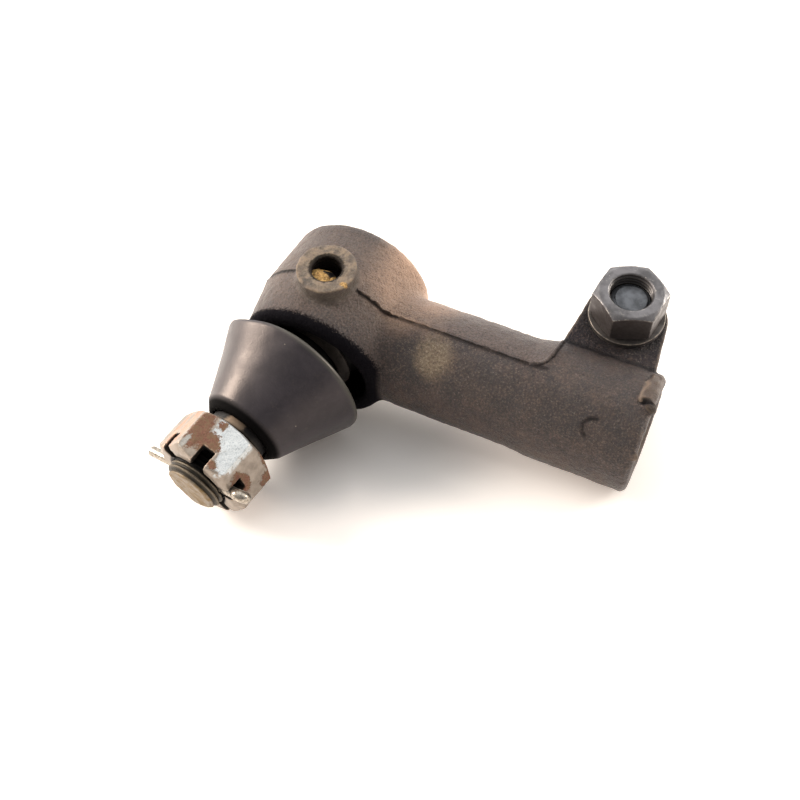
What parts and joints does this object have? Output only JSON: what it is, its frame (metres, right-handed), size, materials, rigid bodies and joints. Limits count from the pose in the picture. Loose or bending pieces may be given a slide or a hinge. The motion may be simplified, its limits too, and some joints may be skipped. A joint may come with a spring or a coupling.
{
  "type": "tie rod end",
  "caption": "Clamp-type steering tie rod end: a forged ball socket with a split threaded shank, a swivelling ball stud, a rubber dust boot, a castle nut with its cotter pin and a clamp bolt.",
  "frame": {"origin": "centre of the mouth of the threaded rod bore, at the clamp end of the shank", "axes": "+X out of the rod bore along the shank; +Z along the clamp bolt towards its nut and along the grease boss; +Y towards the clamp's ears. The ball centre is at x = -98 mm, and the stud points to -Y, leaning 10.4 degrees to -X"},
  "size_m": [0.1302, 0.1094, 0.0523],
  "materials": {
    "forging": "dark forged steel, slightly rough, with a bronze sheen and a parting ridge",
    "stud_steel": "steel with a thin brown rust film",
    "seat_steel": "ground steel, greased",
    "spring_steel": "blued spring steel",
    "cover_steel": "dark pressed steel",
    "dust_washer_steel": "thin pressed steel, sooty and lightly rusted",
    "boot_rubber": "charcoal rubber, satin, dusty",
    "castle_zinc": "zinc plating worn through to brown rust",
    "cotter_steel": "bright drawn wire",
    "bolt_steel": "blackened steel with worn edges",
    "nut_steel": "blackened steel with worn edges",
    "washer_steel": "dark steel with ochre stains"
  },
  "bodies": {
    "housing": {"housing": "forging", "rear_seat": "seat_steel", "disc_spring_1": "spring_steel", "disc_spring_2": "spring_steel", "cover_plate": "cover_steel", "clamp_bolt": "bolt_steel", "clamp_nut": "nut_steel", "nut_washer": "washer_steel", "bolt_washer": "washer_steel"},
    "lean_ring": {"front_seat": "seat_steel"},
    "boot": {"dust_boot": "boot_rubber", "dust_washer": "dust_washer_steel"},
    "stud": {"ball_stud": "stud_steel", "castle_nut": "castle_zinc", "cotter_pin": "cotter_steel"}
  },
  "joints": [
    {"name": "stud_direction", "type": "hinge", "parent": "housing", "child": "lean_ring", "pos_m": [-0.098, 0, 0], "axis": [0, 1, 0], "range_deg": [-90, 90]},
    {"name": "stud_lean", "type": "hinge", "parent": "lean_ring", "child": "boot", "pos_m": [-0.098, 0, 0], "axis": [0, 0, -1], "range_deg": [-15.4, 9.6]},
    {"name": "stud_spin", "type": "hinge", "parent": "boot", "child": "stud", "pos_m": [-0.098, 0, 0], "axis": [-0.1805, -0.9836, 0], "continuous": true}
  ]
}
